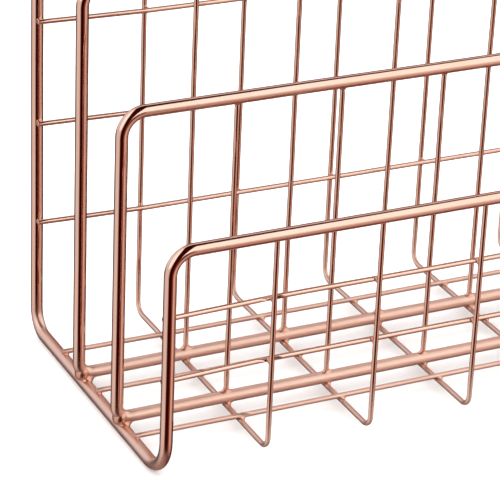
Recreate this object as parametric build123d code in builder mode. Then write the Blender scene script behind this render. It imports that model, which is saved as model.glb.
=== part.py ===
"""Stepped desk file sorter of welded steel wire.

Thick wire makes one closed outer loop (front panel, two side rails on the table and
back panel) and two closed divider hoops that stand across the rails. Thin wire makes
the basket: U-shaped wires that run down the front, along the floor and up the back,
straight wires across them, and the upright wires inside the two dividers.

Millimetres, +Z up. The front panel faces -Y and the origin is on the table, under
the middle of the sorter. Heights and widths are those of wire centre lines.
"""

import os
from math import asin, atan2, cos, hypot, sin, sqrt

from build123d import *

# Wire sizes
frame_wire_diameter = 4.8
frame_wire_sides = 20
basket_wire_diameter = 2.0
basket_wire_sides = 12

# Overall width and the spacing of the four panels, front to back
frame_width = 301.0
front_slot_depth = 40.0
middle_slot_depth = 37.5
back_slot_depth = 50.5

# Heights of the four stepped top bars above the table
front_height = 93.0
low_divider_height = 130.0
tall_divider_height = 166.0
back_height = 216.0

# Bends of the thick wire
top_corner_radius = 9.0
front_base_bend_radius = 15.0
back_base_bend_radius = 9.0
divider_foot_radius = 5.0
divider_overhang = 2.2

# Bends of the basket wires, and how far their legs and the rows run past the middle of
# the thick wire that they end on
basket_bend_radius = 5.0
leg_overrun = 0.4
panel_row_overrun = 1.0
floor_row_overrun = 0.8

# The wires that cross the panels and the floor. Each slot has one wire across its floor,
# at its own share of the way back.
column_count = 6
front_row_height = 40.5
front_row_spacing = 25.0
front_row_count = 2
back_row_height = 50.5
back_row_spacing = 42.0
back_row_count = 4
floor_row_shares = (0.67, 0.64, 0.41)

# Places worked out from the sizes above
frame_radius = frame_wire_diameter / 2
basket_radius = basket_wire_diameter / 2
half_width = frame_width / 2
frame_depth = front_slot_depth + middle_slot_depth + back_slot_depth
front_y = -frame_depth / 2
low_divider_y = front_y + front_slot_depth
tall_divider_y = low_divider_y + middle_slot_depth
back_y = tall_divider_y + back_slot_depth
rail_z = frame_radius

# A divider hoop is a little wider than the rails, so that the rounded corners at its
# foot bear on them. The bar's height follows from the two round wires touching there.
divider_half_width = half_width + divider_overhang
foot_reach = divider_foot_radius + frame_wire_diameter
foot_shift = divider_foot_radius - divider_overhang
divider_bar_z = rail_z + sqrt(foot_reach**2 - foot_shift**2) - divider_foot_radius

# The floor wires run under the divider bars and carry the cross wires of the floor.
floor_z = divider_bar_z - frame_radius - basket_radius
floor_row_z = floor_z + basket_wire_diameter

# The basket hangs inside the front and back panels, and its rows lie inside its legs.
front_leg_y = front_y + frame_radius + basket_radius
front_row_y = front_leg_y + basket_wire_diameter
back_leg_y = back_y - frame_radius - basket_radius
back_row_y = back_leg_y - basket_wire_diameter
column_spacing = frame_width / (column_count + 1)
column_places = [column_spacing * (i + 1) - half_width for i in range(column_count)]
front_row_places = [front_row_height + front_row_spacing * i for i in range(front_row_count)]
back_row_places = [back_row_height + back_row_spacing * i for i in range(back_row_count)]
slot_fronts = (front_y, low_divider_y, tall_divider_y)
slot_depths = (front_slot_depth, middle_slot_depth, back_slot_depth)
floor_row_places = [
    start + depth * share for start, depth, share in zip(slot_fronts, slot_depths, floor_row_shares)
]

os.makedirs("parts", exist_ok=True)


def save(wire, name):
    """Label a finished wire and write its file."""
    wire.part.label = name
    export_step(wire.part, f"parts/{name}.step")


def frame_wire_section():
    """The section of the thick wire. It has sides in place of a true round, which keeps the
    many bends light, with a corner wherever another wire or the table touches it."""
    RegularPolygon(frame_radius, frame_wire_sides)


def basket_wire_section():
    """The section of a thin wire, with fewer sides, and a corner wherever another wire
    touches it."""
    RegularPolygon(basket_radius, basket_wire_sides)


def frame_loop(corners, bends):
    """A closed loop of thick wire, the same on the left and the right, given by the right
    half of its centre line."""
    with BuildPart() as loop:
        with BuildLine() as route:
            FilletPolyline(*corners, radius=bends)
        with BuildSketch(Plane(origin=route.line @ 0, x_dir=(0, 1, 0), z_dir=route.line % 0)):
            frame_wire_section()
        sweep()
        mirror(about=Plane.YZ)
    return loop


def divider_hoop(y, height):
    """A closed hoop across the sorter, from its foot bar round to its top bar."""
    corners = [
        (0, y, divider_bar_z),
        (divider_half_width, y, divider_bar_z),
        (divider_half_width, y, height),
        (0, y, height),
    ]
    return frame_loop(corners, [divider_foot_radius, top_corner_radius])


def divider_upright(x, y, height):
    """A thin upright inside a hoop, its ends shaped to the bars they meet."""
    bar_length = 2 * divider_half_width
    with BuildPart() as upright:
        with BuildSketch(Plane(origin=(x, y, divider_bar_z))):
            basket_wire_section()
        extrude(amount=height - divider_bar_z)
        for bar_z in (divider_bar_z, height):
            with BuildSketch(Plane(origin=(0, y, bar_z), x_dir=(0, 1, 0), z_dir=(1, 0, 0))):
                frame_wire_section()
            extrude(amount=bar_length / 2, both=True, mode=Mode.SUBTRACT)
    return upright


def basket_wire(x):
    """A U-shaped wire down the front, along the floor and up the back. Its legs are cut off
    just above the middle of the front and back top bars."""
    corners = [
        (x, front_leg_y, front_height + leg_overrun),
        (x, front_leg_y, floor_z),
        (x, back_leg_y, floor_z),
        (x, back_leg_y, back_height + leg_overrun),
    ]
    with BuildPart() as wire:
        with BuildLine() as route:
            FilletPolyline(*corners, radius=basket_bend_radius)
        with BuildSketch(Plane(origin=route.line @ 0, x_dir=(1, 0, 0), z_dir=route.line % 0)):
            basket_wire_section()
        sweep()
    return wire


def row_wire(y, z, depth, inward, overrun):
    """A wire straight across the basket. Past the outermost basket wires each end turns
    towards the thick wire, whose centre line lies at this depth behind the row, just enough
    to touch it, and runs on a little. The inward direction points away from that wire."""
    reach = hypot(column_spacing, depth)
    turn = atan2(depth, column_spacing) - asin((frame_radius + basket_radius) / reach)
    end_length = column_spacing + overrun
    end_x = half_width - column_spacing + end_length * cos(turn)
    shift = -end_length * sin(turn) * Vector(inward)
    middle = Vector(0, y, z)
    corners = [
        middle + shift - (end_x, 0, 0),
        middle - (half_width - column_spacing, 0, 0),
        middle + (half_width - column_spacing, 0, 0),
        middle + shift + (end_x, 0, 0),
    ]
    with BuildPart() as wire:
        with BuildLine() as route:
            Polyline(*corners)
        with BuildSketch(Plane(origin=route.line @ 0, x_dir=inward, z_dir=route.line % 0)):
            basket_wire_section()
        sweep(transition=Transition.RIGHT)
    return wire


# Outer loop of thick wire, from the middle of the front top bar over the right side to
# the middle of the back top bar, and the same on the left
outer_corners = [
    (0, front_y, front_height),
    (half_width, front_y, front_height),
    (half_width, front_y, rail_z),
    (half_width, back_y, rail_z),
    (half_width, back_y, back_height),
    (0, back_y, back_height),
]
outer_bends = [
    top_corner_radius,
    front_base_bend_radius,
    back_base_bend_radius,
    top_corner_radius,
]
save(frame_loop(outer_corners, outer_bends), "outer_frame")

# The two divider hoops, each with its thin uprights
for name, y, height in (
    ("low_divider", low_divider_y, low_divider_height),
    ("tall_divider", tall_divider_y, tall_divider_height),
):
    save(divider_hoop(y, height), f"{name}_hoop")
    for number, x in enumerate(column_places, 1):
        save(divider_upright(x, y, height), f"{name}_upright_{number}")

# The basket wires
for number, x in enumerate(column_places, 1):
    save(basket_wire(x), f"basket_wire_{number}")

# Rows across the front and the back panel, inside the legs of the basket wires
for number, z in enumerate(front_row_places, 1):
    row = row_wire(front_row_y, z, front_row_y - front_y, (0, 1, 0), panel_row_overrun)
    save(row, f"front_row_wire_{number}")
for number, z in enumerate(back_row_places, 1):
    row = row_wire(back_row_y, z, back_y - back_row_y, (0, -1, 0), panel_row_overrun)
    save(row, f"back_row_wire_{number}")

# Rows across the floor, on top of the basket wires and of the rails
for number, y in enumerate(floor_row_places, 1):
    row = row_wire(y, floor_row_z, floor_row_z - rail_z, (0, 0, 1), floor_row_overrun)
    save(row, f"floor_row_wire_{number}")
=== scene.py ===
"""Stepped desk file sorter of welded steel wire with a bright copper plating.

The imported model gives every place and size. Each wire is drawn again as a smooth tube
along the same centre line, and a small bead of weld metal is added where wires meet.
Lengths are in metres, +Z is up and the front panel faces -Y.
"""

import math

import bpy
import numpy as np
from mathutils import Matrix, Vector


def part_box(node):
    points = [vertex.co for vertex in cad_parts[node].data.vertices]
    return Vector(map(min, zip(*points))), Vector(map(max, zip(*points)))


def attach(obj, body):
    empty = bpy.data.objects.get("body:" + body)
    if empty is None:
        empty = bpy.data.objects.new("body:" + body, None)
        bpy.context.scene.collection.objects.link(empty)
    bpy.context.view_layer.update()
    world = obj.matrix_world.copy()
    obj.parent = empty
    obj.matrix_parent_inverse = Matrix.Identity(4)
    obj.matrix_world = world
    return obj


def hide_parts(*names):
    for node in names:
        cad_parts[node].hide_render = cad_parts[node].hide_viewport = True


bl_info = {
    "name": "Wire File Sorter",
    "version": (1, 0, 0),
    "blender": (4, 5, 0),
    "location": "3D View > Sidebar > File Sorter",
    "description": "Builds a stepped desk file sorter of copper-plated steel wire",
    "category": "Object",
}

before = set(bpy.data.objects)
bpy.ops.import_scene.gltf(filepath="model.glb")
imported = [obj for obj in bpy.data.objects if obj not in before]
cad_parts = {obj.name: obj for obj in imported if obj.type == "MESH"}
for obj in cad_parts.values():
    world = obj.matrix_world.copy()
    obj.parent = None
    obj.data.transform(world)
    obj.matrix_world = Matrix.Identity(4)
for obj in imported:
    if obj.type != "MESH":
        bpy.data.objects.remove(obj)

MM = 0.001
AXES = np.eye(3)
COLUMN_COUNT = 6
FRONT_ROW_COUNT = 2
BACK_ROW_COUNT = 4
FLOOR_ROW_COUNT = 3

# How finely the shapes are drawn
RUN_STEP = 5 * MM
BEND_STEP = math.radians(5)
FRAME_WIRE_SIDES = 32
BASKET_WIRE_SIDES = 20
EDGE_RINGS = 4
BEAD_ROUNDS = 24
HOLLOW_POINTS = 6
LUMP_RINGS = 13

# Lengths of the slow waves that a drawn wire keeps, and the share of each in its stray
WAVE_LENGTHS = np.array([140.0, 83.0, 47.0]) * MM
WAVE_SHARES = np.array([1.0, 0.6, 0.3])

# The rounded edge of a wire's cut end and the rise of its middle, as shares of its radius
EDGE_SHARE = 0.3
END_RISE_SHARE = 0.12

# The slight bend where the end bays of a cross wire lean towards the thick wire
CROSS_WIRE_BEND = 0.5 * MM

# Each kind of weld: its rolling ball as a share of the bead's radius, and how far its
# hollow is filled. On the floor more metal was pressed out than in the panels, and the
# lower ends of the uprights stood in the melt.
WELDS = {
    "panel crossing": (1.0, 0.1),
    "floor crossing": (1.4, 0.2),
    "leg top": (0.7, 0.1),
    "under foot bar": (1.5, 0.1),
    "row end": (0.5, 0.2),
    "upright foot": (1.9, 0.1),
    "upright top": (0.9, 0.1),
    "hoop foot": (1.0, 0.25),
}

# First random seed of each kind of piece. The pieces of a kind count on from it, the ends
# of the rows and the feet of the hoops by tens, one less on the left and one more on the
# right. The uprights of the low and the tall divider have a first seed each.
SEEDS = {
    "outer frame": 11,
    "hoop": 21,
    "uprights": (31, 41),
    "basket wire": 51,
    "cross wire": 71,
    "wire crossing": 101,
    "leg top": 121,
    "under foot bar": 125,
    "row end": 1310,
    "upright top": 164,
    "upright foot": 178,
    "hoop foot": 1710,
}


def span(node, axis):
    """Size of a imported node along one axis."""
    low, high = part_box(node)
    return high[axis] - low[axis]


def middle(node, axis):
    """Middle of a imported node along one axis."""
    low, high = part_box(node)
    return (high[axis] + low[axis]) / 2


def crown(node, y, reach):
    """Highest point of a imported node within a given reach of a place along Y."""
    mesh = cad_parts[node].data
    places = np.empty(len(mesh.vertices) * 3)
    mesh.vertices.foreach_get("co", places)
    places = places.reshape(-1, 3)
    return float(places[np.abs(places[:, 1] - y) <= reach, 2].max())


def hex_colour(code):
    """An sRGB hex colour as linear red, green and blue: a channel up to 0.04045 is divided
    by 12.92, and above that 0.055 is added, the sum divided by 1.055 and raised to 2.4."""
    channels = [int(code[i : i + 2], 16) / 255 for i in (1, 3, 5)]
    return tuple(c / 12.92 if c <= 0.04045 else ((c + 0.055) / 1.055) ** 2.4 for c in channels)


# Places of the wires' centre lines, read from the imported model
FRAME_RADIUS = span("low_divider_hoop", 1) / 2
BASKET_RADIUS = span("low_divider_upright_1", 0) / 2
HALF_WIDTH = span("outer_frame", 0) / 2 - FRAME_RADIUS
HALF_DEPTH = span("outer_frame", 1) / 2 - FRAME_RADIUS
FRONT_Y = -HALF_DEPTH
BACK_Y = HALF_DEPTH
RAIL_Z = FRAME_RADIUS
FRONT_HEIGHT = crown("outer_frame", FRONT_Y, FRAME_RADIUS) - FRAME_RADIUS
BACK_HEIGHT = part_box("outer_frame")[1].z - FRAME_RADIUS
DIVIDERS = {
    name: (middle(f"{name}_hoop", 1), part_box(f"{name}_hoop")[1].z - FRAME_RADIUS)
    for name in ("low_divider", "tall_divider")
}
DIVIDER_HALF_WIDTH = span("low_divider_hoop", 0) / 2 - FRAME_RADIUS
DIVIDER_BAR_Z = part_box("low_divider_hoop")[0].z + FRAME_RADIUS
FLOOR_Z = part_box("basket_wire_1")[0].z + BASKET_RADIUS
FRONT_LEG_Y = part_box("basket_wire_1")[0].y + BASKET_RADIUS
BACK_LEG_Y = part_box("basket_wire_1")[1].y - BASKET_RADIUS
LEG_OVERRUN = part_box("basket_wire_1")[1].z - BACK_HEIGHT
COLUMNS = np.array([middle(f"basket_wire_{i + 1}", 0) for i in range(COLUMN_COUNT)])


class SorterSizes(bpy.types.PropertyGroup):
    """Sizes of the wires, their bends and their welds."""

    frame_wire: bpy.props.FloatProperty(
        name="Frame wire",
        description="Diameter of the thick wire",
        default=2 * FRAME_RADIUS,
        min=0.001,
        unit="LENGTH",
        precision=4,
    )
    basket_wire: bpy.props.FloatProperty(
        name="Basket wire",
        description="Diameter of the thin wire",
        default=2 * BASKET_RADIUS,
        min=0.0005,
        unit="LENGTH",
        precision=4,
    )
    top_bend: bpy.props.FloatProperty(
        name="Top corners",
        description="Bend radius of the thick wire at the top corners of each panel",
        default=9.0 * MM,
        unit="LENGTH",
        precision=4,
    )
    front_base_bend: bpy.props.FloatProperty(
        name="Front base bend",
        description="Bend radius where the front posts turn into the side rails",
        default=15.0 * MM,
        unit="LENGTH",
        precision=4,
    )
    back_base_bend: bpy.props.FloatProperty(
        name="Back base bend",
        description="Bend radius where the side rails turn into the back posts",
        default=9.0 * MM,
        unit="LENGTH",
        precision=4,
    )
    foot_bend: bpy.props.FloatProperty(
        name="Divider foot bend",
        description="Bend radius of the divider hoops at their feet",
        default=5.0 * MM,
        unit="LENGTH",
        precision=4,
    )
    basket_bend: bpy.props.FloatProperty(
        name="Basket bend",
        description="Bend radius of the thin wires between floor and panels",
        default=5.0 * MM,
        unit="LENGTH",
        precision=4,
    )
    waviness: bpy.props.FloatProperty(
        name="Waviness",
        description="How far a wire strays from a straight line, as drawn wire does",
        default=0.05 * MM,
        min=0.0,
        unit="LENGTH",
        precision=5,
    )
    weld_bead: bpy.props.FloatProperty(
        name="Weld bead",
        description="Radius of the hollow between two thin wires at a weld",
        default=0.75 * MM,
        min=0.0001,
        unit="LENGTH",
        precision=5,
    )
    frame_weld_bead: bpy.props.FloatProperty(
        name="Frame weld bead",
        description="Radius of the hollow between a thin and a thick wire at a weld",
        default=0.85 * MM,
        min=0.0001,
        unit="LENGTH",
        precision=5,
    )
    foot_swelling: bpy.props.FloatProperty(
        name="Foot swelling",
        description="Half length of the lump of weld on the outer side of a divider's foot",
        default=3.0 * MM,
        min=0.0001,
        unit="LENGTH",
        precision=5,
    )
    foot_weld_bead: bpy.props.FloatProperty(
        name="Foot weld bead",
        description="Radius of the hollow between a divider's foot and the rail",
        default=1.3 * MM,
        min=0.0001,
        unit="LENGTH",
        precision=5,
    )


class SorterFinish(bpy.types.PropertyGroup):
    """Colour and gloss of the plating."""

    plating: bpy.props.FloatVectorProperty(
        name="Plating",
        description="Colour of the copper plating",
        subtype="COLOR",
        size=3,
        min=0.0,
        max=1.0,
        default=hex_colour("#FAD7C8"),
    )
    plating_deep: bpy.props.FloatVectorProperty(
        name="Deeper plating",
        description="Colour of the plating where it lies a little thicker",
        subtype="COLOR",
        size=3,
        min=0.0,
        max=1.0,
        default=hex_colour("#F3C4AE"),
    )
    plating_burnt: bpy.props.FloatVectorProperty(
        name="Burnt plating",
        description="Colour of the plating over the hottest part of a weld",
        subtype="COLOR",
        size=3,
        min=0.0,
        max=1.0,
        default=hex_colour("#E6A38A"),
    )
    gloss_roughness: bpy.props.FloatProperty(
        name="Roughness",
        description="Roughness of the bright plating on the wires",
        default=0.09,
        min=0.0,
        max=1.0,
        subtype="FACTOR",
    )
    weld_roughness: bpy.props.FloatProperty(
        name="Weld roughness",
        description="Roughness of the plating on the weld beads",
        default=0.23,
        min=0.0,
        max=1.0,
        subtype="FACTOR",
    )


class SorterStudio(bpy.types.PropertyGroup):
    """The floor and the light around the sorter."""

    floor_colour: bpy.props.FloatVectorProperty(
        name="Floor",
        description="Colour of the pale floor",
        subtype="COLOR",
        size=3,
        min=0.0,
        max=1.0,
        default=hex_colour("#F9F8F7"),
    )
    daylight: bpy.props.FloatProperty(
        name="Room light",
        description="Strength of the even white light that fills the studio",
        default=1.75,
        min=0.0,
    )


# Shapes


def unit(vectors):
    """Vectors divided by their own length."""
    return vectors / np.linalg.norm(vectors, axis=-1, keepdims=True)


def route(corners, radii, closed):
    """Centre line of a bent wire and its directions. The point a share t along a straight
    run is start + t (end - start). A bend of radius r that turns from direction d to
    direction e starts r tan(turn / 2) before its corner. With n square to d in the plane of
    the bend, its point at angle a is centre + r (sin a d - cos a n), and the wire's
    direction there is cos a d + sin a n."""
    corners = np.asarray(corners, float)
    count = len(corners)
    points, heads = [], []
    before = unit(corners - np.roll(corners, 1, axis=0))
    after = unit(np.roll(corners, -1, axis=0) - corners)
    for i in range(count):
        d, e = before[i], after[i]
        if closed or 0 < i < count - 1:
            turn = math.acos(float(np.clip(d @ e, -1, 1)))
            n = unit(e - (d @ e) * d)
            start = corners[i] - d * radii[i] * math.tan(turn / 2)
            angle = np.linspace(0, turn, max(3, math.ceil(turn / BEND_STEP)) + 1)[:, None]
            arc = start + n * radii[i] + radii[i] * (np.sin(angle) * d - np.cos(angle) * n)
            heading = np.cos(angle) * d + np.sin(angle) * n
        else:
            arc = corners[i][None]
            heading = (e if i == 0 else d)[None]
        if points:
            add_run(points, heads, points[-1][-1], arc[0])
        points.append(arc)
        heads.append(heading)
    if closed:
        add_run(points, heads, points[-1][-1], points[0][0])
    return np.concatenate(points), np.concatenate(heads)


def add_run(points, heads, start, end):
    """The inner points of a straight run, evenly spaced, and their directions."""
    length = np.linalg.norm(end - start)
    share = np.linspace(0, 1, max(1, math.ceil(length / RUN_STEP)) + 1)[1:-1, None]
    points.append(start + share * (end - start))
    heads.append(np.repeat(unit(end - start)[None], len(share), axis=0))


def grid_quads(rows, columns, closed):
    """Quads of a grid whose point in row i and column j has the number i columns + j. The
    columns close to a ring, and so do the rows if asked."""
    i, j = np.meshgrid(np.arange(rows if closed else rows - 1), np.arange(columns), indexing="ij")
    i, j = i.ravel(), j.ravel()
    i2, j2 = (i + 1) % rows, (j + 1) % columns
    corners = [(i, j), (i2, j), (i2, j2), (i, j2)]
    return np.stack([row * columns + column for row, column in corners], axis=1)


def fan(pole, first, count, turned):
    """Triangles from a pole to the ring of points that starts with a given number, turned
    round if asked."""
    near = first + np.arange(count)
    far = first + (np.arange(count) + 1) % count
    return np.stack([np.full(count, pole), *((far, near) if turned else (near, far))], axis=1)


def make_object(name, points, faces, uv=None):
    """A smooth mesh object at the origin from points and arrays of faces, with the length
    along the wire and round it as its map where these are given."""
    mesh = bpy.data.meshes.new(name)
    mesh.from_pydata(points.tolist(), [], [face for array in faces for face in array.tolist()])
    mesh.polygons.foreach_set("use_smooth", np.ones(len(mesh.polygons), bool))
    if uv is not None:
        mesh.uv_layers.new(name="along_wire").data.foreach_set("uv", uv.ravel())
    mesh.update()
    piece = bpy.data.objects.new(name, mesh)
    bpy.context.scene.collection.objects.link(piece)
    return piece


def stray(share, total, waviness, seed):
    """How far a wire strays to its two sides at each share of its length: the sum of its
    slow sine waves, each a whole number of times in the length."""
    phase = np.random.default_rng(seed).uniform(0, 2 * math.pi, (2, len(WAVE_LENGTHS)))
    turns = 2 * math.pi * share[:, None] * (np.round(total / WAVE_LENGTHS) + 1)
    waves = (np.sin(turns + phase[:, None]) * WAVE_SHARES).sum(axis=2)
    return waviness * waves / WAVE_SHARES.sum()


def rounded_ends(line, heads, a, b, along, radius):
    """An open wire with each end ring drawn out to rings round a small edge. At angle e
    they lie edge (1 - sin e) in from the end and are edge (1 - cos e) slimmer."""
    edge = EDGE_SHARE * radius
    turn = np.linspace(0, math.pi / 2, EDGE_RINGS)
    back = edge * (1 - np.sin(turn))
    slim = radius - edge * (1 - np.cos(turn))
    inner = np.full(len(line) - 2, radius)
    first = line[0] + heads[0] * back[::-1, None]
    last = line[-1] - heads[-1] * back[:, None]
    along = np.concatenate([back[::-1], along[1:-1], along[-1] - back])
    line = np.concatenate([first, line[1:-1], last])
    size = np.concatenate([slim[::-1], inner, slim])
    times = np.concatenate([[EDGE_RINGS], np.ones(len(inner), int), [EDGE_RINGS]])
    return line, size, np.repeat(a, times, axis=0), np.repeat(b, times, axis=0), along


def wire(name, line, heads, radius, sides, closed, waviness, seed):
    """A tube along a centre line. The point at ring i and angle v is
    line(i) + size(i) (cos v a + sin v b), where a is square to the wire's direction and to
    the room's diagonal, and b is square to both. An open wire's ends are cut square, with
    a rounded edge and a slightly raised middle. The piece's map gives the length along the
    wire and round it, in metres."""
    a = unit(np.cross(heads, unit(np.ones(3))))
    b = np.cross(heads, a)
    gaps = np.linalg.norm(np.diff(line, axis=0), axis=1)
    along = np.concatenate([[0.0], np.cumsum(gaps)])
    total = along[-1] + (np.linalg.norm(line[0] - line[-1]) if closed else 0.0)
    to_a, to_b = stray(along / total, total, waviness, seed)[..., None]
    line = line + to_a * a + to_b * b
    size = np.full(len(line), radius)
    if not closed:
        line, size, a, b, along = rounded_ends(line, heads, a, b, along, radius)
    angle = np.linspace(0, 2 * math.pi, sides, endpoint=False)[None, :, None]
    rings = line[:, None] + size[:, None, None] * (
        np.cos(angle) * a[:, None] + np.sin(angle) * b[:, None]
    )
    points = rings.reshape(-1, 3)
    # Each quad is taken the other way round, so that it points outwards.
    faces = [grid_quads(len(line), sides, closed)[:, [0, 3, 2, 1]]]
    i, j = np.divmod(faces[0][:, 0], sides)
    ahead = np.append(along, total)[i + 1]
    pitch = 2 * math.pi * radius / sides
    u = np.stack([along[i], along[i], ahead, ahead], axis=1)
    v = np.stack([j, j + 1, j + 1, j], axis=1) * pitch
    uv = [np.stack([u, v], axis=2).reshape(-1, 2)]
    if not closed:
        rise = END_RISE_SHARE * radius
        poles = np.stack([line[0] - heads[0] * rise, line[-1] + heads[-1] * rise])
        rim = len(points) - sides
        points = np.concatenate([points, poles])
        faces.append(fan(len(points) - 2, 0, sides, True))
        faces.append(fan(len(points) - 1, rim, sides, False))
        for place, corners in ((0.0, (0.5, 1.0, 0.0)), (total, (0.5, 0.0, 1.0))):
            v = (np.arange(sides)[:, None] + corners) * pitch
            uv.append(np.stack([np.full_like(v, place), v], axis=2).reshape(-1, 2))
    return make_object(name, points, faces, np.concatenate(uv))


def hollow(centre, contact_1, contact_2, core, fullness):
    """Section of a weld bead, swept round the joint. A ball rolls round the joint in touch
    with both wires. Its arc between the two contacts is the hollow of the weld, filled
    towards the ball's centre by a share of sin(pi s). Past each contact the bead runs on
    and sinks under the wire's skin, and it closes through the metal by the core points."""
    # How far it runs on and sinks, as shares of the ball's radius
    run_on, sink = 0.3, 0.12
    ball = np.linalg.norm(contact_1 - centre, axis=-1, keepdims=True)
    p, q = (contact_1 - centre) / ball, (contact_2 - centre) / ball
    cosine = np.clip((p * q).sum(axis=-1, keepdims=True), -1, 1)
    angle = np.arccos(cosine)
    s = np.linspace(0, 1, HOLLOW_POINTS)[:, None]
    p4, q4, angle4 = p[..., None, :], q[..., None, :], angle[..., None, :]
    arc = (np.sin((1 - s) * angle4) * p4 + np.sin(s * angle4) * q4) / np.sin(angle4)
    arc = centre[..., None, :] + ball[..., None, :] * arc * (1 - fullness * np.sin(np.pi * s))
    beyond_1 = (p * cosine - q) / np.sin(angle)
    beyond_2 = (q * cosine - p) / np.sin(angle)
    under_1 = contact_1 + ball * (run_on * beyond_1 + sink * p)
    under_2 = contact_2 + ball * (run_on * beyond_2 + sink * q)
    parts = [under_1[..., None, :], arc, under_2[..., None, :], core[..., None, :]]
    return np.concatenate(parts, axis=-2)


def crossing_bead(radius_1, radius_2, ball, fullness):
    """Bead where wire 2, along Y, lies on wire 1, along X, the normal between them being Z.
    At angle t round the crossing the ball's centre is at
    x = 2 cos t sqrt(ball (radius_2 + ball sin^2 t)),
    y = 2 sin t sqrt(ball (radius_1 + ball cos^2 t)), z = radius_1 + ball cos 2t."""
    # The core's share of the way out from the middle of the crossing to the ball
    core_share = 0.3
    t = np.linspace(0, 2 * math.pi, ball.shape[1], endpoint=False)[None, :]
    reach = radius_1 + radius_2
    x = 2 * np.cos(t) * np.sqrt(ball * (radius_2 + ball * np.sin(t) ** 2))
    y = 2 * np.sin(t) * np.sqrt(ball * (radius_1 + ball * np.cos(t) ** 2))
    z = radius_1 + ball * np.cos(2 * t)
    k1 = radius_1 / (radius_1 + ball)
    k2 = radius_2 / (radius_2 + ball)
    centre = np.stack([x, y, z], axis=-1)
    contact_1 = np.stack([x, y * k1, z * k1], axis=-1)
    contact_2 = np.stack([x * k2, y, reach + (z - reach) * k2], axis=-1)
    core = np.stack([core_share * x, core_share * y, np.full_like(z, radius_1)], axis=-1)
    return hollow(centre, contact_1, contact_2, core, fullness)


def pressed_below(places, top):
    """Places along a wire's end. Those above zero are pressed together by top tanh(p / top),
    so that a bead stops at the end of its wire."""
    return np.where(places > 0, top * np.tanh(places / top), places)


def lifted_along_bend(grids, radius_1, bend):
    """A crossing bead whose wire 2 bends away from wire 1. At a place p along wire 2 the
    points on its side are lifted by bend - sqrt(bend^2 - p^2), where bend is the radius of
    its outer side. Those on wire 1 stay, and between a height of 0.4 radius_1 and radius_1
    the lift sets in."""
    low = 0.4
    # Past this place along the wire the lift stays as it is.
    limit = 0.9 * bend
    share = np.clip((grids[..., 2] / radius_1 - low) / (1 - low), 0, 1)
    away = bend - np.sqrt(bend**2 - np.clip(grids[..., 1], -limit, limit) ** 2)
    lifted = grids.copy()
    lifted[..., 2] += share * away
    return lifted


def butt_bead(radius_1, radius_2, ball, fullness):
    """Bead where wire 2, along Z, ends on the side of wire 1, along X. At angle t round
    wire 2 the ball's centre is at x = (radius_2 + ball) cos t, y = (radius_2 + ball) sin t,
    z = sqrt((radius_1 + ball)^2 - y^2)."""
    # The core's share of the way out from wire 2's middle to its skin, and its height
    core_share, core_height = 0.5, 0.8 * radius_1
    t = np.linspace(0, 2 * math.pi, ball.shape[1], endpoint=False)[None, :]
    x = (radius_2 + ball) * np.cos(t)
    y = (radius_2 + ball) * np.sin(t)
    z = np.sqrt((radius_1 + ball) ** 2 - y**2)
    k1 = radius_1 / (radius_1 + ball)
    k2 = radius_2 / (radius_2 + ball)
    centre = np.stack([x, y, z], axis=-1)
    contact_1 = np.stack([x, y * k1, z * k1], axis=-1)
    contact_2 = np.stack([x * k2, y * k2, z], axis=-1)
    core_x, core_y = core_share * x * k2, core_share * y * k2
    core = np.stack([core_x, core_y, np.full_like(z, core_height)], axis=-1)
    return hollow(centre, contact_1, contact_2, core, fullness)


def lump_grid(sizes):
    """An oval lump of weld metal with the given half lengths. Its point at angle t and
    latitude l is (cos l cos t, cos l sin t, sin l) times them. The latitudes stop at 80
    degrees, and the thin hollow that is left between them lies inside the wires."""
    t = np.linspace(0, 2 * math.pi, BEAD_ROUNDS, endpoint=False)[:, None]
    latitude = np.radians(np.linspace(-80, 80, LUMP_RINGS))[None, :]
    x = np.cos(latitude) * np.cos(t)
    y = np.cos(latitude) * np.sin(t)
    z = np.sin(latitude) * np.ones_like(t)
    return (np.stack([x, y, z], axis=-1) * sizes)[None]


def uneven(ball, count, seed):
    """Ball radii round each of many beads. Every bead has its own size, with one slow swell
    and three small ones round it."""
    smallest, largest = 0.82, 1.2
    # Heights of the swells, as shares of the bead's own size
    slow, small = 0.08, 0.06
    rng = np.random.default_rng(seed)
    t = np.linspace(0, 2 * math.pi, BEAD_ROUNDS, endpoint=False)[None, :]
    own = rng.uniform(smallest, largest, (count, 1))
    phase = rng.uniform(0, 2 * math.pi, (count, 2))
    swells = slow * np.sin(t + phase[:, :1]) + small * np.sin(3 * t + phase[:, 1:])
    return ball * own * (1 + swells)


def weld_balls(kind, bead, count, seed):
    """Ball radii round the welds of one kind, and how far their hollows are filled."""
    share, fullness = WELDS[kind]
    return uneven(share * bead, count, seed), fullness


def beads(name, groups):
    """One piece from groups of beads. A group is its bead grids, the centres of wire 1
    and the directions of wire 1, of wire 2 and of the normal between them."""
    points, faces = [], []
    offset = 0
    for grids, origins, axis_1, axis_2, normal in groups:
        axis_1 = np.broadcast_to(axis_1, origins.shape)
        axis_2 = np.broadcast_to(axis_2, origins.shape)
        normal = np.broadcast_to(normal, origins.shape)
        # Wire 1's direction is turned round where the three would be left-handed.
        hand = np.sign((np.cross(axis_1, axis_2) * normal).sum(axis=1, keepdims=True))
        basis = np.stack([axis_1 * hand, axis_2, normal], axis=1)
        grids = np.broadcast_to(grids, (len(origins),) + grids.shape[1:])
        placed = np.einsum("ktsa,kab->ktsb", grids, basis) + origins[:, None, None]
        count, rounds, width = placed.shape[:3]
        starts = offset + rounds * width * np.arange(count)
        faces.append((starts[:, None, None] + grid_quads(rounds, width, True)).reshape(-1, 4))
        points.append(placed.reshape(-1, 3))
        offset += count * rounds * width
    return make_object(name, np.concatenate(points), faces)


def grid_of(*columns):
    """All combinations of X, Y and Z places, as a list of points."""
    return np.stack(np.meshgrid(*columns, indexing="ij"), axis=-1).reshape(-1, 3)


# Materials


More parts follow.
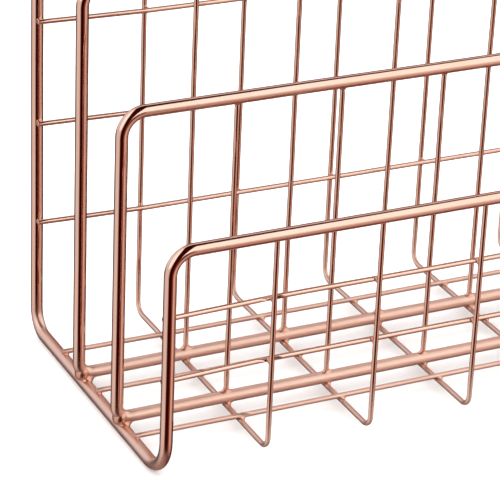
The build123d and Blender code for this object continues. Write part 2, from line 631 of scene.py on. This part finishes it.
def empty_tree(block):
    """The node tree of a new material or world, with nothing in it yet."""
    block.use_nodes = True
    block.node_tree.nodes.clear()
    return block.node_tree


def add_node(tree, kind, settings=None, inputs=None, links=None):
    """Adds a node with its settings, its sockets' values and its links from other outputs."""
    node = tree.nodes.new(kind)
    for key, value in (settings or {}).items():
        setattr(node, key, value)
    for key, value in (inputs or {}).items():
        node.inputs[key].default_value = value
    for key, output in (links or {}).items():
        tree.links.new(output, node.inputs[key])
    return node


def plating_tone(tree, place, drawn):
    """Colour of the plating, deeper in drifts where the bath left it thicker. Over a weld
    it is deeper still, from the heat."""
    finish = bpy.context.scene.sorter_finish
    pale = finish.plating if drawn else finish.plating_deep
    deep = finish.plating_deep if drawn else finish.plating_burnt
    drift_size = 25 * MM
    drift = add_node(
        tree,
        "ShaderNodeTexNoise",
        inputs={"Scale": 1 / drift_size, "Detail": 3.0, "Roughness": 0.6},
        links={"Vector": place},
    )
    tone = add_node(
        tree,
        "ShaderNodeMix",
        {"data_type": "RGBA"},
        inputs={"A": (*pale, 1.0), "B": (*deep, 1.0)},
        links={"Factor": drift.outputs["Fac"]},
    )
    return tone.outputs["Result"]


def plating_roughness(tree, place, low, roughness, drawn):
    """Roughness of the plating, with the haze of wiping and handling in small patches. The
    polishing wheel hardly reaches the wires next to the table, which stay duller. Weld metal
    is smooth from the melt and needs no wheel."""
    haze_size = 2 * MM
    clearest, haziest = 0.7 * roughness, 1.5 * roughness
    missed = 0.27 if drawn else 0.06
    haze = add_node(
        tree,
        "ShaderNodeTexNoise",
        inputs={"Scale": 1 / haze_size, "Detail": 4.0, "Roughness": 0.65},
        links={"Vector": place},
    )
    gloss = add_node(
        tree,
        "ShaderNodeMapRange",
        inputs={"From Min": 0.3, "From Max": 0.75, "To Min": clearest, "To Max": haziest},
        links={"Value": haze.outputs["Fac"]},
    )
    dullness = add_node(
        tree,
        "ShaderNodeMath",
        {"operation": "MULTIPLY_ADD"},
        inputs={1: missed},
        links={0: low, 2: gloss.outputs["Result"]},
    )
    return dullness.outputs["Value"]


def bare_metal(tree, apart, low, drawn):
    """How much of the surface is bare metal: all of it, but for a thin pale bloom from the
    plating bath, which is no metal. It stays on the upper sides of the low wires between
    the rails, where no wheel comes."""
    bloom = 0.2 if drawn else 0.1
    # It sets in over the lower half of the foot bars, and ends next to the rails.
    bar_underside, bar_middle = 4.4 * MM, 7 * MM
    full_until, gone_from = HALF_WIDTH - 6 * MM, HALF_WIDTH - 2 * MM
    upper = add_node(
        tree,
        "ShaderNodeMapRange",
        inputs={"From Min": bar_underside, "From Max": bar_middle},
        links={"Value": apart.outputs["Z"]},
    )
    where = add_node(
        tree,
        "ShaderNodeMath",
        {"operation": "MULTIPLY"},
        links={0: low, 1: upper.outputs["Result"]},
    )
    across = add_node(
        tree, "ShaderNodeMath", {"operation": "ABSOLUTE"}, links={0: apart.outputs["X"]}
    )
    loss = add_node(
        tree,
        "ShaderNodeMapRange",
        inputs={"From Min": full_until, "From Max": gone_from, "To Min": -bloom, "To Max": 0.0},
        links={"Value": across.outputs["Value"]},
    )
    bare = add_node(
        tree,
        "ShaderNodeMath",
        {"operation": "MULTIPLY_ADD"},
        inputs={2: 1.0},
        links={0: where.outputs["Value"], 1: loss.outputs["Result"]},
    )
    return bare.outputs["Value"]


def surface_relief(tree, place, swell_height, swell_size, drawn):
    """Low swells in the surface under the plating and, on drawn wire, the faint lengthwise
    lines of the die."""
    swell = add_node(
        tree,
        "ShaderNodeTexNoise",
        inputs={"Scale": 1 / swell_size, "Detail": 2.0, "Roughness": 0.5},
        links={"Vector": place},
    )
    relief = add_node(
        tree,
        "ShaderNodeBump",
        inputs={"Strength": 1.0, "Distance": swell_height},
        links={"Height": swell.outputs["Fac"]},
    )
    if drawn:
        # Real die lines lie closer together than these, which would be too fine to show.
        line_length, line_spacing, line_depth = 60 * MM, 0.5 * MM, 0.003 * MM
        wrap = add_node(tree, "ShaderNodeUVMap", {"uv_map": "along_wire"})
        stretch = add_node(
            tree,
            "ShaderNodeMapping",
            inputs={"Scale": (1 / line_length, 1 / line_spacing, 1.0)},
            links={"Vector": wrap.outputs["UV"]},
        )
        lines = add_node(
            tree,
            "ShaderNodeTexNoise",
            inputs={"Scale": 1.0, "Detail": 2.0, "Roughness": 0.6},
            links={"Vector": stretch.outputs["Vector"]},
        )
        relief = add_node(
            tree,
            "ShaderNodeBump",
            inputs={"Strength": 1.0, "Distance": line_depth},
            links={"Height": lines.outputs["Fac"], "Normal": relief.outputs["Normal"]},
        )
    return relief.outputs["Normal"]


def bright_copper_plating(name, roughness, swell_height, swell_size, drawn):
    """Drawn steel wire, welded, then polished and plated with bright copper. To the eye it
    is a warm pink mirror that shows the room in long clear stripes, a little wavy and, near
    the table, blurred."""
    # Heights up to which the plating is dullest and from which it is fully bright
    dull_until, bright_from = 8 * MM, 24 * MM
    material = bpy.data.materials.new(name)
    tree = empty_tree(material)
    place = add_node(tree, "ShaderNodeTexCoord").outputs["Object"]
    apart = add_node(tree, "ShaderNodeSeparateXYZ", links={"Vector": place})
    near_table = add_node(
        tree,
        "ShaderNodeMapRange",
        inputs={"From Min": dull_until, "From Max": bright_from, "To Min": 1.0, "To Max": 0.0},
        links={"Value": apart.outputs["Z"]},
    )
    low = near_table.outputs["Result"]
    shader = add_node(
        tree,
        "ShaderNodeBsdfPrincipled",
        links={
            "Base Color": plating_tone(tree, place, drawn),
            "Metallic": bare_metal(tree, apart, low, drawn),
            "Roughness": plating_roughness(tree, place, low, roughness, drawn),
            "Normal": surface_relief(tree, place, swell_height, swell_size, drawn),
        },
    )
    add_node(tree, "ShaderNodeOutputMaterial", links={"Surface": shader.outputs["BSDF"]})
    return material


def finish_material(kind):
    """The plating of the wires or of the weld beads, made once."""
    name = {"wire": "bright_copper_plated_wire", "weld": "copper_plated_weld_metal"}[kind]
    if name in bpy.data.materials:
        return bpy.data.materials[name]
    finish = bpy.context.scene.sorter_finish
    if kind == "wire":
        roughness, swell_height, swell_size = finish.gloss_roughness, 0.02 * MM, 3 * MM
    else:
        roughness, swell_height, swell_size = finish.weld_roughness, 0.05 * MM, 0.9 * MM
    return bright_copper_plating(name, roughness, swell_height, swell_size, kind == "wire")


def settle(piece, slot, kind, *nodes):
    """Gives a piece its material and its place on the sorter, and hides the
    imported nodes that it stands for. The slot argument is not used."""
    piece.data.materials.append(finish_material(kind))
    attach(piece, "root")
    if nodes:
        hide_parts(*nodes)


# Pieces


def thick_loop(node, corners, radii, seed):
    """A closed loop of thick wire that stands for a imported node."""
    sizes = bpy.context.scene.sorter_sizes
    line, heads = route(corners, radii, True)
    radius = sizes.frame_wire / 2
    sides = FRAME_WIRE_SIDES
    piece = wire(f"{node}_plated", line, heads, radius, sides, True, sizes.waviness, seed)
    settle(piece, "frame_wire", "wire", node)


def thin_wire(node, corners, radii, seed):
    """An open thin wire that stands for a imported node."""
    sizes = bpy.context.scene.sorter_sizes
    line, heads = route(corners, radii, False)
    radius = sizes.basket_wire / 2
    sides = BASKET_WIRE_SIDES
    piece = wire(f"{node}_plated", line, heads, radius, sides, False, sizes.waviness, seed)
    settle(piece, "basket_wire", "wire", node)


class SORTER_OT_outer_frame(bpy.types.Operator):
    """Build the outer loop: front panel, side rails and back panel in one thick wire"""

    bl_idname = "sorter.outer_frame"
    bl_label = "Outer Frame"

    def execute(self, context):
        sizes = context.scene.sorter_sizes
        w = HALF_WIDTH
        corners = [
            (-w, FRONT_Y, FRONT_HEIGHT),
            (w, FRONT_Y, FRONT_HEIGHT),
            (w, FRONT_Y, RAIL_Z),
            (w, BACK_Y, RAIL_Z),
            (w, BACK_Y, BACK_HEIGHT),
            (-w, BACK_Y, BACK_HEIGHT),
            (-w, BACK_Y, RAIL_Z),
            (-w, FRONT_Y, RAIL_Z),
        ]
        top, front, back = sizes.top_bend, sizes.front_base_bend, sizes.back_base_bend
        radii = [top, top, front, back, top, top, back, front]
        thick_loop("outer_frame", corners, radii, SEEDS["outer frame"])
        return {"FINISHED"}


class SORTER_OT_divider_hoops(bpy.types.Operator):
    """Build the two thick hoops that stand across the rails"""

    bl_idname = "sorter.divider_hoops"
    bl_label = "Divider Hoops"

    def execute(self, context):
        sizes = context.scene.sorter_sizes
        w = DIVIDER_HALF_WIDTH
        for seed, (name, (y, height)) in enumerate(DIVIDERS.items(), SEEDS["hoop"]):
            corners = [
                (-w, y, height),
                (w, y, height),
                (w, y, DIVIDER_BAR_Z),
                (-w, y, DIVIDER_BAR_Z),
            ]
            radii = [sizes.top_bend, sizes.top_bend, sizes.foot_bend, sizes.foot_bend]
            thick_loop(f"{name}_hoop", corners, radii, seed)
        return {"FINISHED"}


class SORTER_OT_divider_uprights(bpy.types.Operator):
    """Build the thin upright wires inside the two divider hoops"""

    bl_idname = "sorter.divider_uprights"
    bl_label = "Divider Uprights"

    def execute(self, context):
        sunk = FRAME_RADIUS / 2
        for first_seed, (name, (y, height)) in zip(SEEDS["uprights"], DIVIDERS.items()):
            for i, x in enumerate(COLUMNS):
                corners = [(x, y, DIVIDER_BAR_Z + sunk), (x, y, height - sunk)]
                thin_wire(f"{name}_upright_{i + 1}", corners, [0, 0], first_seed + i)
        return {"FINISHED"}


class SORTER_OT_basket_wires(bpy.types.Operator):
    """Build the U-shaped thin wires that run down the front, along the floor and up the back"""

    bl_idname = "sorter.basket_wires"
    bl_label = "Basket Wires"

    def execute(self, context):
        bend = context.scene.sorter_sizes.basket_bend
        for i, x in enumerate(COLUMNS):
            corners = [
                (x, FRONT_LEG_Y, FRONT_HEIGHT + LEG_OVERRUN),
                (x, FRONT_LEG_Y, FLOOR_Z),
                (x, BACK_LEG_Y, FLOOR_Z),
                (x, BACK_LEG_Y, BACK_HEIGHT + LEG_OVERRUN),
            ]
            seed = SEEDS["basket wire"] + i
            thin_wire(f"basket_wire_{i + 1}", corners, [0, bend, bend, 0], seed)
        return {"FINISHED"}


class SORTER_OT_cross_wires(bpy.types.Operator):
    """Build the straight wires across the front panel, the back panel and the floor"""

    bl_idname = "sorter.cross_wires"
    bl_label = "Cross Wires"

    def execute(self, context):
        radii = [0, CROSS_WIRE_BEND, CROSS_WIRE_BEND, 0]
        for seed, (node, axis, side) in enumerate(cross_wire_nodes(), SEEDS["cross wire"]):
            thin_wire(node, cross_wire_corners(node, axis, side), radii, seed)
        return {"FINISHED"}


def cross_wire_nodes():
    """Each cross wire's node, the axis that its end bays lean along and to which side."""
    front = [(f"front_row_wire_{i + 1}", 1, -1) for i in range(FRONT_ROW_COUNT)]
    back = [(f"back_row_wire_{i + 1}", 1, 1) for i in range(BACK_ROW_COUNT)]
    floor = [(f"floor_row_wire_{i + 1}", 2, 1) for i in range(FLOOR_ROW_COUNT)]
    return front + back + floor


def cross_wire_corners(node, axis, side):
    """Corners of a cross wire's centre line. Between the outermost basket wires it lies at
    one side of its box, and its ends lean to the other side of the box."""
    low, high = np.array(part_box(node)[0]), np.array(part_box(node)[1])
    near, far = (high, low) if side < 0 else (low, high)
    corners = np.repeat((low + high)[None] / 2, 4, axis=0)
    corners[:, axis] = near[axis] + side * BASKET_RADIUS
    corners[[0, 3], axis] = far[axis] - side * BASKET_RADIUS
    corners[:, 0] = [low[0], COLUMNS[0], COLUMNS[-1], high[0]]
    return corners


class SORTER_OT_basket_welds(bpy.types.Operator):
    """Build the weld beads where thin wires cross in the panels and on the floor"""

    bl_idname = "sorter.basket_welds"
    bl_label = "Basket Welds"

    def execute(self, context):
        sizes = context.scene.sorter_sizes
        thin = sizes.basket_wire / 2
        x_axis, y_axis, z_axis = AXES
        groups = []
        for seed, (node, axis, side) in enumerate(cross_wire_nodes(), SEEDS["wire crossing"]):
            origins = np.repeat(cross_wire_corners(node, axis, side)[1:2], COLUMN_COUNT, axis=0)
            origins[:, 0] = COLUMNS
            on_floor = axis == 2
            across = y_axis if on_floor else z_axis
            normal = AXES[axis] * (-side if on_floor else side)
            kind = "floor crossing" if on_floor else "panel crossing"
            ball, fullness = weld_balls(kind, sizes.weld_bead, COLUMN_COUNT, seed)
            grids = crossing_bead(thin, thin, ball, fullness)
            groups.append((grids, origins, x_axis, across, normal))
        settle(beads("basket_welds", groups), "basket_wire", "weld")
        return {"FINISHED"}


class SORTER_OT_frame_welds(bpy.types.Operator):
    """Build the weld beads where thin wires meet the thick ones"""

    bl_idname = "sorter.frame_welds"
    bl_label = "Frame Welds"

    def execute(self, context):
        groups = self.leg_tops() + self.under_foot_bars() + self.row_ends()
        settle(beads("frame_welds", groups), "frame_wire", "weld")
        return {"FINISHED"}

    def grids(self, kind, count, seed):
        """Bead grids of one kind between thick and thin wires."""
        sizes = bpy.context.scene.sorter_sizes
        ball, fullness = weld_balls(kind, sizes.frame_weld_bead, count, seed)
        return crossing_bead(sizes.frame_wire / 2, sizes.basket_wire / 2, ball, fullness)

    def leg_tops(self):
        """Beads of the basket wires' legs on the front and back top bars."""
        x_axis, y_axis, z_axis = AXES
        bars = ((FRONT_Y, FRONT_HEIGHT, y_axis), (BACK_Y, BACK_HEIGHT, -y_axis))
        groups = []
        for seed, (y, height, normal) in enumerate(bars, SEEDS["leg top"]):
            grids = self.grids("leg top", COLUMN_COUNT, seed)
            grids[..., 1] = pressed_below(grids[..., 1], LEG_OVERRUN)
            groups.append((grids, grid_of(COLUMNS, [y], [height]), x_axis, z_axis, normal))
        return groups

    def under_foot_bars(self):
        """Beads of the floor wires under the divider bars."""
        x_axis, y_axis, z_axis = AXES
        groups = []
        for seed, (y, _) in enumerate(DIVIDERS.values(), SEEDS["under foot bar"]):
            grids = self.grids("under foot bar", COLUMN_COUNT, seed)
            origins = grid_of(COLUMNS, [y], [DIVIDER_BAR_Z])
            groups.append((grids, origins, x_axis, y_axis, -z_axis))
        return groups

    def row_ends(self):
        """Beads of the cross wires' ends on the posts and rails. Each may reach past the
        thick wire's middle by a little more than its wire does."""
        reach_share = 1.2
        _, y_axis, z_axis = AXES
        groups = []
        for number, (node, axis, side) in enumerate(cross_wire_nodes()):
            corners = cross_wire_corners(node, axis, side)
            if axis == 1:
                along, level = z_axis, FRONT_Y if side < 0 else BACK_Y
            else:
                along, level = y_axis, RAIL_Z
            for sign, outer, inner in ((-1, corners[0], corners[1]), (1, corners[3], corners[2])):
                heading = unit(outer - inner)
                place = inner.copy()
                place[0], place[axis] = sign * HALF_WIDTH, level
                normal = np.cross(heading, along)
                normal *= np.sign((inner - place) @ normal)
                grids = self.grids("row end", 1, SEEDS["row end"] + 10 * number + sign)
                overrun = abs(outer[0]) - HALF_WIDTH
                grids[..., 1] = pressed_below(grids[..., 1], reach_share * overrun)
                groups.append((grids, place[None], along, heading, normal))
        return groups


class SORTER_OT_upright_welds(bpy.types.Operator):
    """Build the weld beads at both ends of the divider uprights"""

    bl_idname = "sorter.upright_welds"
    bl_label = "Upright Welds"

    def execute(self, context):
        sizes = context.scene.sorter_sizes
        thick, thin = sizes.frame_wire / 2, sizes.basket_wire / 2
        x_axis, y_axis, z_axis = AXES
        groups = []
        for number, (y, height) in enumerate(DIVIDERS.values()):
            ends = (("upright foot", DIVIDER_BAR_Z, z_axis), ("upright top", height, -z_axis))
            for kind, z, normal in ends:
                seed = SEEDS[kind] + number
                ball, fullness = weld_balls(kind, sizes.frame_weld_bead, COLUMN_COUNT, seed)
                grids = butt_bead(thick, thin, ball, fullness)
                groups.append((grids, grid_of(COLUMNS, [y], [z]), x_axis, y_axis, normal))
        settle(beads("upright_welds", groups), "frame_wire", "weld")
        return {"FINISHED"}


class SORTER_OT_foot_welds(bpy.types.Operator):
    """Build the weld beads where the divider hoops bear on the side rails"""

    bl_idname = "sorter.foot_welds"
    bl_label = "Foot Welds"

    def execute(self, context):
        sizes = context.scene.sorter_sizes
        thick, bend = sizes.frame_wire / 2, sizes.foot_bend
        # The lump of metal that was pressed out on the outer side of each foot: its half
        # lengths, and how far up the foot and outwards it lies, in radii of the thick wire
        lump = lump_grid(sizes.foot_swelling * np.array([1.0, 0.95, 1.1]))
        lump_up, lump_out = 1.75, 0.9
        groups = []
        for number, (y, _) in enumerate(DIVIDERS.values()):
            for sign in (-1, 1):
                rail = np.array([sign * HALF_WIDTH, y, RAIL_Z])
                bend_x = sign * (DIVIDER_HALF_WIDTH - bend)
                normal = unit(np.array([bend_x, y, DIVIDER_BAR_Z + bend]) - rail)
                heading = np.cross(AXES[1], normal)
                seed = SEEDS["hoop foot"] + 10 * number + sign
                ball, fullness = weld_balls("hoop foot", sizes.foot_weld_bead, 1, seed)
                grids = crossing_bead(thick, thick, ball, fullness)
                grids = lifted_along_bend(grids, thick, bend + thick)
                groups.append((grids, rail[None], AXES[1], heading, normal))
                outwards = heading * np.sign(heading[0]) * sign
                core = rail + thick * (lump_up * normal + lump_out * outwards)
                groups.append((lump, core[None], AXES[1], heading, normal))
        settle(beads("foot_welds", groups), "frame_wire", "weld")
        return {"FINISHED"}


# Studio

# The photograph's view: the camera's place, its turn to the right from straight ahead, its
# drop below level and its roll, and its focal length in widths of the picture
CAMERA_PLACE = np.array([-475.4, -770.4, 467.7]) * MM
VIEW_TURN = math.radians(26.708)
VIEW_DROP = math.radians(25.590)
VIEW_ROLL = math.radians(2.446)
FOCAL_WIDTHS = 4.973
# The nearest and the furthest thing that the camera draws, in metres
VIEW_RANGE = (0.05, 50.0)

# The floor and the dome of the mirrored room, in metres, and how finely it is drawn
FLOOR_HALF_SIDE = 8.0
DOME_RADIUS = 6.0
DOME_TURNS = 240
DOME_RINGS = 119

# What the polished wires mirror: patches of soft light and the dark gaps between them,
# each drawn over the ones before it. Their limits and the width of their soft edges are in
# degrees. Bearing is the turn from the camera's side, positive to the right, and height the
# rise above level. Lean is the angle to the right of the upright plane through the camera,
# and tilt the angle from straight up, positive to the back.
ROOM = (
    # Left: a dim edge, then the main panel of light
    ({"bearing": (-126, -10), "height": (-78, 6)}, 12, "#83838A", 1.0),
    ({"bearing": (-100, -10), "height": (-76, 12)}, 26, "#E5DCD8", 1.0),
    # Right: a panel that grows darker and browner towards the floor
    ({"bearing": (18, 118), "height": (-90, 12)}, 16, "#6A443C", 1.0),
    ({"bearing": (40, 106), "height": (-54, 12)}, 14, "#A67E76", 1.0),
    ({"bearing": (44, 100), "height": (-46, 12)}, 12, "#B79089", 1.0),
    ({"bearing": (56, 86), "height": (-36, 12)}, 18, "#DFC5B8", 1.0),
    ({"bearing": (36, 106), "height": (-14, 14)}, 14, "#EDE9E2", 1.0),
    # The floor in front, dulled by the sorter's own shade
    ({"lean": (-60, 14), "height": (-100, -52)}, 18, "#A48A88", 1.0),
    # Above: bright in front, rosier behind, and brown low down at the back
    ({"height": (4, 100)}, 10, "#FBFEFC", 1.28),
    ({"height": (0, 100), "tilt": (28, 120)}, 6, "#DAD6DE", 1.0),
    ({"bearing": (-145, -95), "height": (-6, 60), "tilt": (30, 130)}, 14, "#EBEBF1", 1.0),
    ({"bearing": (150, 200), "height": (-14, 33)}, 14, "#8A5C51", 1.0),
    ({"bearing": (-200, -158), "height": (-14, 33)}, 14, "#8A5C51", 1.0),
    # The gap over the camera, with a slow shade on its left and a brown edge on its right
    ({"bearing": (26, 47), "height": (-56, 6)}, 8, "#743828", 1.0),
    ({"lean": (-26, 10), "tilt": (-200, 0), "height": (-50, 14)}, 26, "#340602", 1.0),
    ({"lean": (-20, 24), "tilt": (-200, 27), "height": (-44, 100)}, 4, "#340300", 1.0),
)
ROOM_BASE = "#33150E"


def between(value, low, high, soft):
    """1 inside a range and 0 outside it, with an edge that rises by 3 s^2 - 2 s^3."""
    rise = np.clip((value - low) / soft + 0.5, 0, 1)
    fall = np.clip((high - value) / soft + 0.5, 0, 1)
    return (rise**2 * (3 - 2 * rise)) * (fall**2 * (3 - 2 * fall))


def room_light(direction):
    """Colour of the mirrored room in each direction, the panels laid one over another."""
    x, y, z = direction[..., 0], direction[..., 1], direction[..., 2]
    right = x * math.cos(VIEW_TURN) - y * math.sin(VIEW_TURN)
    near = -x * math.sin(VIEW_TURN) - y * math.cos(VIEW_TURN)
    angles = {
        "bearing": np.degrees(np.arctan2(right, near)),
        "height": np.degrees(np.arcsin(np.clip(z, -1, 1))),
        "lean": np.degrees(np.arcsin(np.clip(right, -1, 1))),
        "tilt": np.degrees(np.arctan2(y, z)),
    }
    light = np.zeros(direction.shape) + hex_colour(ROOM_BASE)
    for limits, soft, colour, strength in ROOM:
        cover = np.ones(direction.shape[:-1])
        for angle, (low, high) in limits.items():
            cover = cover * between(angles[angle], low, high, soft)
        cover = cover[..., None]
        light = light * (1 - cover) + cover * strength * np.array(hex_colour(colour))
    return light


class SORTER_OT_studio(bpy.types.Operator):
    """Build the pale floor, the soft light and the camera of the photograph"""

    bl_idname = "sorter.studio"
    bl_label = "Studio"

    def execute(self, context):
        self.floor(context.scene.sorter_studio)
        self.room()
        self.light(context.scene)
        self.camera(context.scene)
        return {"FINISHED"}

    def floor(self, studio):
        """A wide flat floor under the rails, of smooth matt card. It gives the eye no gloss,
        only the sorter's own soft shade."""
        signs = np.array([[-1, -1, 0], [1, -1, 0], [1, 1, 0], [-1, 1, 0]])
        floor = make_object("floor", FLOOR_HALF_SIDE * signs, [np.array([[0, 1, 2, 3]])])
        material = bpy.data.materials.new("pale_matt_floor")
        tree = empty_tree(material)
        colour = (*studio.floor_colour, 1.0)
        shader = add_node(tree, "ShaderNodeBsdfDiffuse", inputs={"Color": colour})
        add_node(tree, "ShaderNodeOutputMaterial", links={"Surface": shader.outputs["BSDF"]})
        floor.data.materials.append(material)
        floor.visible_glossy = False

    def room(self):
        """The room that the wires mirror, on a dome that only mirror rays see. Its point at
        turn u and height v is radius (cos v sin u, cos v cos u, sin v)."""
        u = np.linspace(0, 2 * math.pi, DOME_TURNS, endpoint=False)
        v = np.linspace(-math.pi / 2, math.pi / 2, DOME_RINGS + 2)[1:-1]
        u, v = np.meshgrid(u, v)
        shell = np.stack([np.cos(v) * np.sin(u), np.cos(v) * np.cos(u), np.sin(v)], axis=-1)
        points = np.concatenate([shell.reshape(-1, 3), [[0, 0, -1], [0, 0, 1]]])
        low, high = len(points) - 2, len(points) - 1
        last_ring = (DOME_RINGS - 1) * DOME_TURNS
        faces = [
            grid_quads(DOME_RINGS, DOME_TURNS, False),
            fan(low, 0, DOME_TURNS, False),
            fan(high, last_ring, DOME_TURNS, True),
        ]
        dome = make_object("mirrored_room", points * DOME_RADIUS, faces)
        light = np.concatenate([room_light(points), np.ones((len(points), 1))], axis=1)
        layer = dome.data.attributes.new("room_light", "FLOAT_COLOR", "POINT")
        layer.data.foreach_set("color", light.astype(np.float32).ravel())
        material = bpy.data.materials.new("studio_room_glow")
        tree = empty_tree(material)
        seen = add_node(tree, "ShaderNodeAttribute", {"attribute_name": "room_light"})
        glow = add_node(
            tree,
            "ShaderNodeEmission",
            inputs={"Strength": 1.0},
            links={"Color": seen.outputs["Color"]},
        )
        add_node(tree, "ShaderNodeOutputMaterial", links={"Surface": glow.outputs["Emission"]})
        dome.data.materials.append(material)
        for rays in ("camera", "diffuse", "shadow", "transmission", "volume_scatter"):
            setattr(dome, f"visible_{rays}", False)

    def light(self, scene):
        """Even white light from all round."""
        world = bpy.data.worlds.new("white_room")
        tree = empty_tree(world)
        shader = add_node(
            tree,
            "ShaderNodeBackground",
            inputs={"Color": (1.0, 1.0, 1.0, 1.0), "Strength": scene.sorter_studio.daylight},
        )
        add_node(tree, "ShaderNodeOutputWorld", links={"Surface": shader.outputs["Background"]})
        scene.world = world
        scene.view_settings.view_transform = "Standard"

    def camera(self, scene):
        """The photograph's camera."""
        camera = bpy.data.cameras.new("camera")
        camera.lens = FOCAL_WIDTHS * camera.sensor_width
        camera.clip_start, camera.clip_end = VIEW_RANGE
        holder = bpy.data.objects.new("camera", camera)
        holder.location = CAMERA_PLACE
        turn = Matrix.Rotation(-VIEW_TURN, 3, "Z")
        drop = Matrix.Rotation(math.pi / 2 - VIEW_DROP, 3, "X")
        roll = Matrix.Rotation(VIEW_ROLL, 3, "Z")
        holder.rotation_euler = (turn @ drop @ roll).to_euler()
        scene.collection.objects.link(holder)
        scene.camera = holder


PIECES = (
    SORTER_OT_outer_frame,
    SORTER_OT_divider_hoops,
    SORTER_OT_divider_uprights,
    SORTER_OT_basket_wires,
    SORTER_OT_cross_wires,
    SORTER_OT_basket_welds,
    SORTER_OT_frame_welds,
    SORTER_OT_upright_welds,
    SORTER_OT_foot_welds,
    SORTER_OT_studio,
)


GROUPS = {
    "sorter_sizes": SorterSizes,
    "sorter_finish": SorterFinish,
    "sorter_studio": SorterStudio,
}


class SORTER_PT_panel(bpy.types.Panel):
    """Lists the sorter's sizes, finish and pieces in the sidebar"""

    bl_idname = "SORTER_PT_panel"
    bl_label = "File Sorter"
    bl_space_type = "VIEW_3D"
    bl_region_type = "UI"
    bl_category = "File Sorter"

    def draw(self, context):
        layout = self.layout
        for name, group in GROUPS.items():
            column = layout.column(align=True)
            for setting in group.__annotations__:
                column.prop(getattr(context.scene, name), setting)
        column = layout.column(align=True)
        for piece in PIECES:
            column.operator(piece.bl_idname)


def register():
    """Registers the settings, the operators and the panel."""
    for name, group in GROUPS.items():
        bpy.utils.register_class(group)
        setattr(bpy.types.Scene, name, bpy.props.PointerProperty(type=group))
    for piece in (*PIECES, SORTER_PT_panel):
        bpy.utils.register_class(piece)


def unregister():
    """Removes them again."""
    for piece in (SORTER_PT_panel, *reversed(PIECES)):
        bpy.utils.unregister_class(piece)
    for name, group in GROUPS.items():
        delattr(bpy.types.Scene, name)
        bpy.utils.unregister_class(group)


def main():
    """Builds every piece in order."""
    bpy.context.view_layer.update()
    register()
    for piece in PIECES:
        group, operator = piece.bl_idname.split(".")
        getattr(getattr(bpy.ops, group), operator)()


if __name__ == "__main__":
    main()
